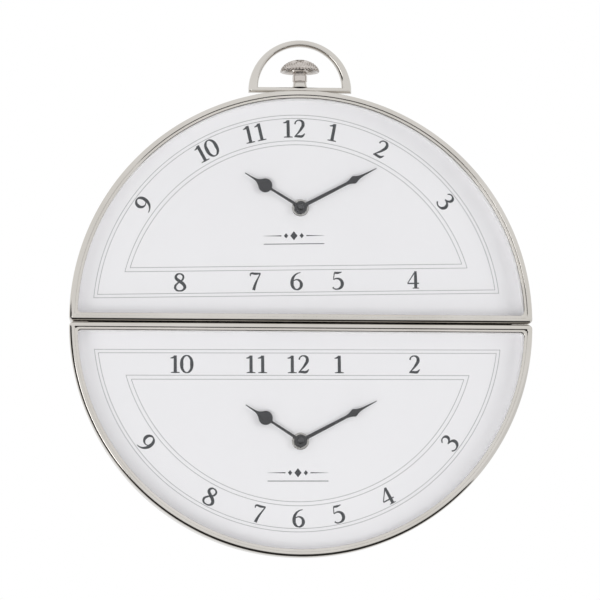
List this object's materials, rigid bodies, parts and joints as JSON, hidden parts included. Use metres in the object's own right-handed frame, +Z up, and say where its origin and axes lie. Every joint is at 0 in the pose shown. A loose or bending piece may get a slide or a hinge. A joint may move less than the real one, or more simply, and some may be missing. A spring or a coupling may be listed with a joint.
{
  "type": "two-dial wall clock",
  "caption": "Round wall clock like a pocket watch, made of two half-round clocks joined chord to chord, with a bow and a knurled crown on top.",
  "frame": {"origin": "on the wall plane, at the middle of the seam between the two half-round cases", "axes": "+Y points into the wall and the dials face -Y, +Z is up towards the crown, +X is to the right seen from the front"},
  "size_m": [0.37, 0.04, 0.4173],
  "materials": {
    "polished_nickel": "mirror polished nickel plate",
    "nickel_plated_steel": "satin nickel plate",
    "mineral_glass": "clear flat",
    "white_spacer": "white satin",
    "dial_white": "white satin lacquer",
    "back_painted": "black fine powder coat",
    "zinc_steel": "bright zinc plate",
    "brass": "turned",
    "black_plastic": "fine spark texture",
    "rubber": "matte",
    "gear_plastic": "natural acetal",
    "knob_plastic": "grey moulded",
    "hand_dark": "dark satin lacquer",
    "copper_wire": "enamelled windings",
    "board_green": "solder mask",
    "battery_wrap": "plain sleeve",
    "spring_steel": "nickel-plated strip",
    "dark_steel": "blackened"
  },
  "bodies": {
    "clock": {"upper_bezel": "polished_nickel", "upper_band": "nickel_plated_steel", "upper_glass": "mineral_glass", "upper_spacer": "white_spacer", "upper_dial": "dial_white", "upper_back_plate": "back_painted", "upper_back_screws": "zinc_steel", "upper_dial_pillars": "brass", "upper_movement_housing": "black_plastic", "upper_movement_cover": "black_plastic", "upper_dial_gasket": "rubber", "upper_dial_washer": "brass", "upper_dial_nut": "dark_steel", "upper_motor_stator": "zinc_steel", "upper_motor_coil": "copper_wire", "upper_circuit_board": "board_green", "upper_battery": "battery_wrap", "upper_battery_contacts": "spring_steel", "lower_bezel": "polished_nickel", "lower_band": "nickel_plated_steel", "lower_glass": "mineral_glass", "lower_spacer": "white_spacer", "lower_dial": "dial_white", "lower_back_plate": "back_painted", "lower_back_screws": "zinc_steel", "lower_dial_pillars": "brass", "lower_movement_housing": "black_plastic", "lower_movement_cover": "black_plastic", "lower_dial_gasket": "rubber", "lower_dial_washer": "brass", "lower_dial_nut": "dark_steel", "lower_motor_stator": "zinc_steel", "lower_motor_coil": "copper_wire", "lower_circuit_board": "board_green", "lower_battery": "battery_wrap", "lower_battery_contacts": "spring_steel", "joining_bar": "back_painted", "joining_bolts": "zinc_steel", "joining_nuts": "zinc_steel", "hanger_bracket": "zinc_steel", "hanger_screws": "zinc_steel", "crown_stud": "dark_steel", "stud_nut": "zinc_steel"},
    "upper_minute": {"upper_minute_arbor": "brass", "upper_minute_hand": "hand_dark", "upper_hand_nut": "hand_dark"},
    "upper_hour": {"upper_hour_wheel": "gear_plastic", "upper_hour_hand": "hand_dark"},
    "upper_motion": {"upper_motion_wheel": "gear_plastic"},
    "upper_setting": {"upper_setting_knob": "knob_plastic"},
    "lower_minute": {"lower_minute_arbor": "brass", "lower_minute_hand": "hand_dark", "lower_hand_nut": "hand_dark"},
    "lower_hour": {"lower_hour_wheel": "gear_plastic", "lower_hour_hand": "hand_dark"},
    "lower_motion": {"lower_motion_wheel": "gear_plastic"},
    "lower_setting": {"lower_setting_knob": "knob_plastic"},
    "bow": {"bow": "polished_nickel"},
    "crown": {"crown": "polished_nickel"}
  },
  "joints": [
    {"name": "upper_minute_turn", "type": "hinge", "parent": "clock", "child": "upper_minute", "pos_m": [0, -0.028, 0.0937], "axis": [0, 1, 0], "continuous": true},
    {"name": "upper_hour_turn", "type": "hinge", "parent": "clock", "child": "upper_hour", "pos_m": [0, -0.028, 0.0937], "axis": [0, 1, 0], "continuous": true},
    {"name": "upper_motion_turn", "type": "hinge", "parent": "clock", "child": "upper_motion", "pos_m": [0.01, -0.028, 0.0937], "axis": [0, 1, 0], "continuous": true},
    {"name": "upper_setting_turn", "type": "hinge", "parent": "clock", "child": "upper_setting", "pos_m": [0.015, -0.028, 0.10236], "axis": [0, 1, 0], "continuous": true},
    {"name": "lower_minute_turn", "type": "hinge", "parent": "clock", "child": "lower_minute", "pos_m": [0, -0.028, -0.0937], "axis": [0, 1, 0], "continuous": true},
    {"name": "lower_hour_turn", "type": "hinge", "parent": "clock", "child": "lower_hour", "pos_m": [0, -0.028, -0.0937], "axis": [0, 1, 0], "continuous": true},
    {"name": "lower_motion_turn", "type": "hinge", "parent": "clock", "child": "lower_motion", "pos_m": [0.01, -0.028, -0.0937], "axis": [0, 1, 0], "continuous": true},
    {"name": "lower_setting_turn", "type": "hinge", "parent": "clock", "child": "lower_setting", "pos_m": [0.015, -0.028, -0.08504], "axis": [0, 1, 0], "continuous": true},
    {"name": "bow_swivel", "type": "hinge", "parent": "clock", "child": "bow", "pos_m": [0, -0.0175, 0.19], "axis": [0, 0, 1], "range_deg": [-18, 18]},
    {"name": "crown_turn", "type": "hinge", "parent": "clock", "child": "crown", "pos_m": [0, -0.0175, 0.2], "axis": [0, 0, 1], "continuous": true}
  ],
  "couplings": [
    {"joint": "upper_hour_turn", "follows": "upper_minute_turn", "ratio": 0.083333},
    {"joint": "upper_motion_turn", "follows": "upper_minute_turn", "ratio": -0.33333},
    {"joint": "upper_setting_turn", "follows": "upper_minute_turn", "ratio": 1},
    {"joint": "lower_hour_turn", "follows": "lower_minute_turn", "ratio": 0.083333},
    {"joint": "lower_motion_turn", "follows": "lower_minute_turn", "ratio": -0.33333},
    {"joint": "lower_setting_turn", "follows": "lower_minute_turn", "ratio": 1}
  ]
}
